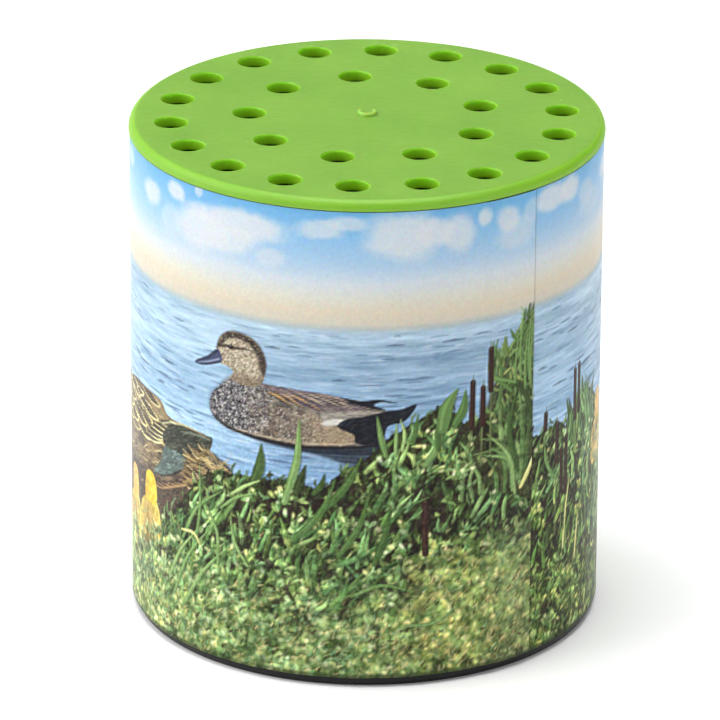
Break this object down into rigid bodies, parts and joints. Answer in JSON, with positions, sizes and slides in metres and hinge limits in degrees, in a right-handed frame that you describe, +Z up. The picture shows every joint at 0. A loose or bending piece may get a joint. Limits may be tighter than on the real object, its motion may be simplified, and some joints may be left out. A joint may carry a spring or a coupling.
{
  "type": "turn-over duck call sound box",
  "caption": "Round tin-shaped case with a perforated lid; a weighted bellows inside blows a reed when the case is turned over and back.",
  "frame": {"origin": "centre of the foot, on the surface that the case stands on", "axes": "+Z up the case's axis, from the foot to the lid; -Y faces the side of the label with the swimming duck"},
  "size_m": [0.06, 0.06, 0.0655],
  "materials": {
    "case_plastic": "satin",
    "label_paper": "gloss laminated, printed all round with a duck pond",
    "lid_plastic": "satin moulded",
    "felt": "matte felt",
    "foam": "matte foam",
    "natural_plastic": "satin moulded",
    "bellows_rubber": "matte",
    "weight_steel": "turned",
    "clip_steel": "stamped",
    "reed_tube_plastic": "gloss moulded",
    "reed_brass": "rolled"
  },
  "bodies": {
    "case": {"body_can": "case_plastic", "picture_label": "label_paper", "floor_pad": "felt", "bellows_lower_clamp": "natural_plastic", "bellows": "bellows_rubber"},
    "lid": {"perforated_lid": "lid_plastic", "lid_bumper_ring": "foam"},
    "sounder": {"bellows_head_plate": "natural_plastic", "bellows_upper_clamp": "natural_plastic", "weight_ring": "weight_steel", "weight_clip": "clip_steel", "horn_tube": "natural_plastic", "reed_holder": "natural_plastic", "reed_shallot": "reed_tube_plastic", "reed_wedge": "natural_plastic"},
    "reed": {"reed_tongue": "reed_brass"}
  },
  "joints": [
    {"name": "lid_lift", "type": "slide", "parent": "case", "child": "lid", "axis": [0, 0, 1], "range_m": [0, 0.03]},
    {"name": "sounder_slide", "type": "slide", "parent": "case", "child": "sounder", "axis": [0, 0, 1], "range_m": [0, 0.028], "deforming": ["bellows"]},
    {"name": "reed_flex", "type": "hinge", "parent": "sounder", "child": "reed", "pos_m": [0.0019, 0, 0.018], "axis": [0, 1, 0], "range_deg": [-2, 3], "stiffness_Nm_per_rad": 0.01}
  ]
}
